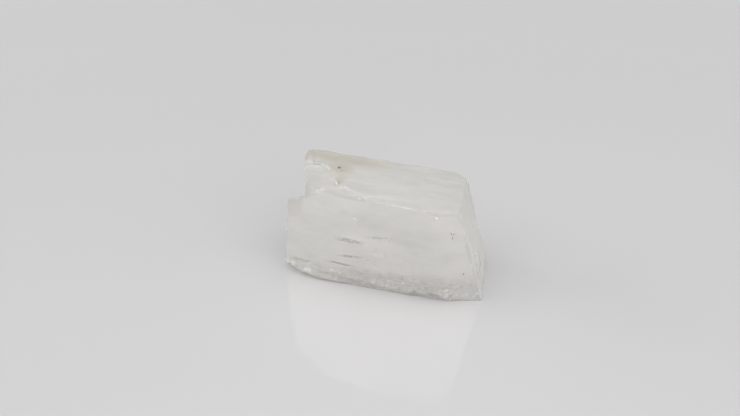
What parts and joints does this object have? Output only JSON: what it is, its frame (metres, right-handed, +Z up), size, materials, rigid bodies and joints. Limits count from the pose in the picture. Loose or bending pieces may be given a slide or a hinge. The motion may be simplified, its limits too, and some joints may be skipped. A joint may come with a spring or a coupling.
{
  "type": "calcite specimen",
  "caption": "Hand-size cleavage piece of milky, nearly colourless calcite: a skewed block with a broken step at one end, resting on a flat cleavage face.",
  "frame": {"origin": "on the surface the crystal rests on, under the middle of its bounding box", "axes": "+X along the crystal's long side towards its whole end, +Y towards its back, +Z up"},
  "size_m": [0.04, 0.0214, 0.0227],
  "materials": {
    "calcite": "translucent natural calcite, glassy cleavage faces with fine steps, milky inside",
    "milky_veil": "thin milky veils and healed cleavage cracks sealed inside the crystal",
    "mineral_speck": "dull dark mineral specks and stained films sealed inside the crystal"
  },
  "bodies": {
    "root": {"calcite_crystal": "calcite"}
  },
  "joints": []
}
